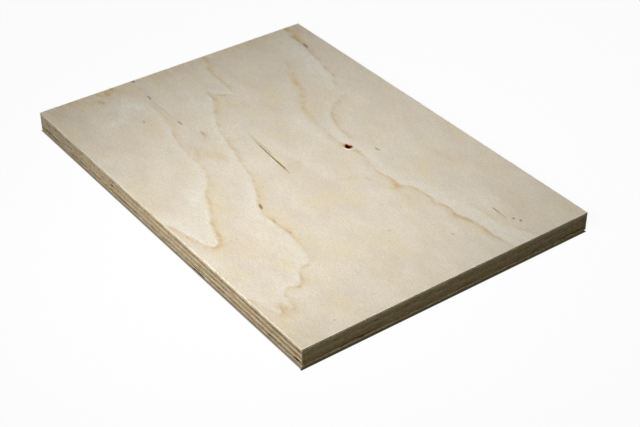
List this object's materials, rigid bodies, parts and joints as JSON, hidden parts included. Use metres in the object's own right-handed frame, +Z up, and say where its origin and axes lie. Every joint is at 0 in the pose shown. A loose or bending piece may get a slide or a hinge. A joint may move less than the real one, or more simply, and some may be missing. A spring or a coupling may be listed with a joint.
{
  "type": "plywood sheet",
  "caption": "Small sheet of pale birch plywood lying flat, its crossed plies showing in bare sawn edges with core gaps, a pin knot and a hairline split in the face",
  "frame": {"origin": "middle of the back face, where the sheet rests", "axes": "+X along the sheet with the grain of its faces, +Y across it, +Z up through the plies to the face"},
  "size_m": [0.297, 0.21, 0.0127],
  "materials": {
    "face_veneer": "matte",
    "cross_ply": "matte",
    "long_ply": "matte",
    "back_veneer": "matte"
  },
  "bodies": {
    "root": {"face_veneer": "face_veneer", "cross_ply_2": "cross_ply", "long_ply_3": "long_ply", "cross_ply_4": "cross_ply", "long_ply_5": "long_ply", "cross_ply_6": "cross_ply", "back_veneer": "back_veneer"}
  },
  "joints": []
}
